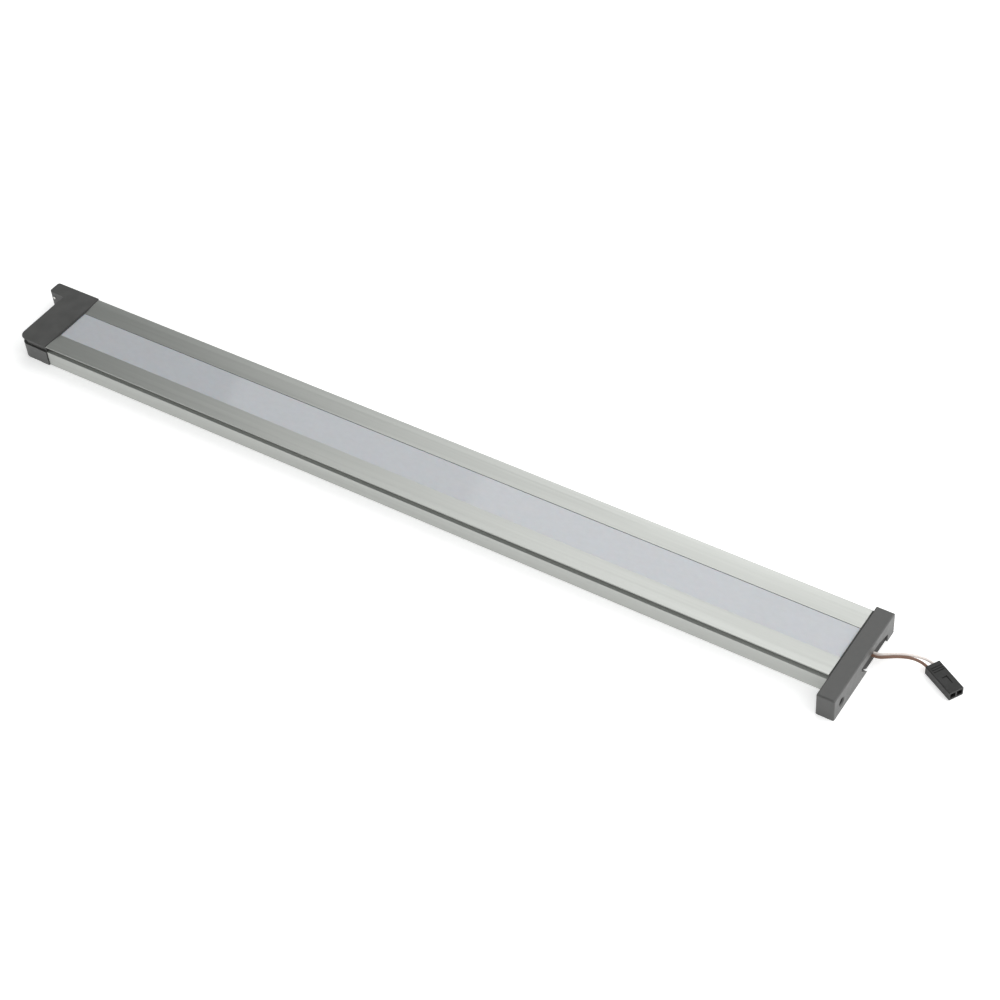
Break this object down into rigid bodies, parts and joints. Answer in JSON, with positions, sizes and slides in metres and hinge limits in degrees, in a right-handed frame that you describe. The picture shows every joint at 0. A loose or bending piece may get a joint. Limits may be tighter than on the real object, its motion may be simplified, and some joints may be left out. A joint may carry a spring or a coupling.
{
  "type": "led light bar",
  "caption": "Slim low-voltage LED light bar: aluminium profile, milky cover strip, two dark end caps and short plug-ended leads.",
  "frame": {"origin": "middle of the aluminium profile's flat underside", "axes": "+X along the bar towards the lead end, +Y across it towards the lug side, +Z out of the lit face"},
  "size_m": [0.5544, 0.0615, 0.0134],
  "materials": {
    "profile_aluminium": "satin anodised, fine lengthwise drawing lines",
    "cover_plastic": "milky translucent, satin",
    "cap_plastic": "fine moulded grain",
    "seal_rubber": "matte black",
    "grommet_rubber": "matte black",
    "pin_steel": "bright stainless",
    "screw_steel": "zinc plated",
    "board_mask": "white solder mask on an aluminium core",
    "tape_adhesive": "matte, soft",
    "led_frame": "white moulded",
    "led_phosphor": "clear-coated yellow phosphor, unlit",
    "resistor_ceramic": "black glazed top with bright ends",
    "diode_case": "black moulded",
    "solder_tin": "bright tin",
    "wire_brown": "smooth flexible insulation",
    "wire_white": "smooth flexible insulation",
    "plug_plastic": "fine moulded grain",
    "contact_brass": "tin-flashed brass"
  },
  "bodies": {
    "root": {"body_extrusion": "profile_aluminium", "diffuser": "cover_plastic", "led_board": "board_mask", "thermal_tape": "tape_adhesive", "led_packages": "led_frame", "led_phosphor": "led_phosphor", "resistors": "resistor_ceramic", "protection_diode": "diode_case", "solder_joints": "solder_tin", "left_end_cap": "cap_plastic", "right_end_cap": "cap_plastic", "lug_pin": "pin_steel", "left_cap_gasket": "seal_rubber", "right_cap_gasket": "seal_rubber", "left_cap_screws": "screw_steel", "right_cap_screws": "screw_steel", "lead_grommet": "grommet_rubber", "inner_lead_brown": "wire_brown", "inner_lead_white": "wire_white", "lead_brown": "wire_brown", "lead_white": "wire_white", "connector_housing": "plug_plastic", "connector_contacts": "contact_brass"}
  },
  "joints": []
}
